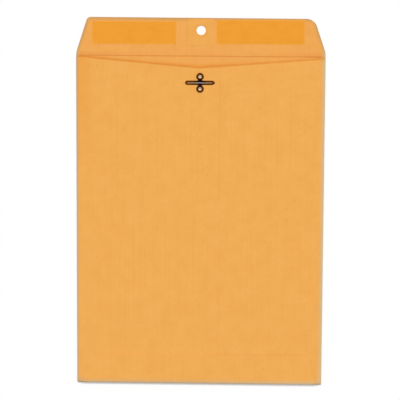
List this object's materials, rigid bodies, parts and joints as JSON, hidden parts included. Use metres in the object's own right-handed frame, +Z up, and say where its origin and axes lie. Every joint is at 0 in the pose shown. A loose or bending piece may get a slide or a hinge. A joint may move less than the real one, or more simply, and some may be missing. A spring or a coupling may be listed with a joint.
{
  "type": "clasp envelope",
  "caption": "Open-end kraft paper envelope with a centre seam, a gummed seal flap with a punched hole, and a metal clasp whose bendable prongs pass through the hole.",
  "frame": {"origin": "on the surface the envelope lies on, under the middle of the outline of the open envelope", "axes": "+Y towards the open seal flap, +Z up out of the clasp side, +X to the right seen from the clasp side"},
  "size_m": [0.2286, 0.3402, 0.0023],
  "materials": {
    "kraft_paper": "uncoated golden kraft",
    "patch_paper": "uncoated golden kraft",
    "seal_gum": "dried gum, slight sheen",
    "dried_glue": "dried paste",
    "clasp_steel": "plated, worn dark at the edges"
  },
  "bodies": {
    "envelope": {"front_panel": "kraft_paper", "left_side_fold": "kraft_paper", "right_side_fold": "kraft_paper", "left_back_panel": "kraft_paper", "right_back_panel": "kraft_paper", "centre_seam_glue": "dried_glue", "bottom_fold": "kraft_paper", "bottom_flap": "kraft_paper", "bottom_seam_glue": "dried_glue", "clasp_body": "clasp_steel"},
    "flap": {"seal_flap": "kraft_paper", "hole_patch": "patch_paper", "gum_strip_left": "seal_gum", "gum_strip_right": "seal_gum"},
    "left_prong": {"clasp_prong_left": "clasp_steel"},
    "right_prong": {"clasp_prong_right": "clasp_steel"}
  },
  "joints": [
    {"name": "flap_crease", "type": "hinge", "parent": "envelope", "child": "flap", "pos_m": [0, 0.1347, 0.00106], "axis": [1, 0, 0], "range_deg": [0, 177]},
    {"name": "left_prong_bend", "type": "hinge", "parent": "envelope", "child": "left_prong", "pos_m": [-0.0019, 0.1105, 0.00201], "axis": [0, 1, 0], "range_deg": [0, 90]},
    {"name": "right_prong_bend", "type": "hinge", "parent": "envelope", "child": "right_prong", "pos_m": [0.0013, 0.1105, 0.00201], "axis": [0, -1, 0], "range_deg": [0, 90]}
  ]
}
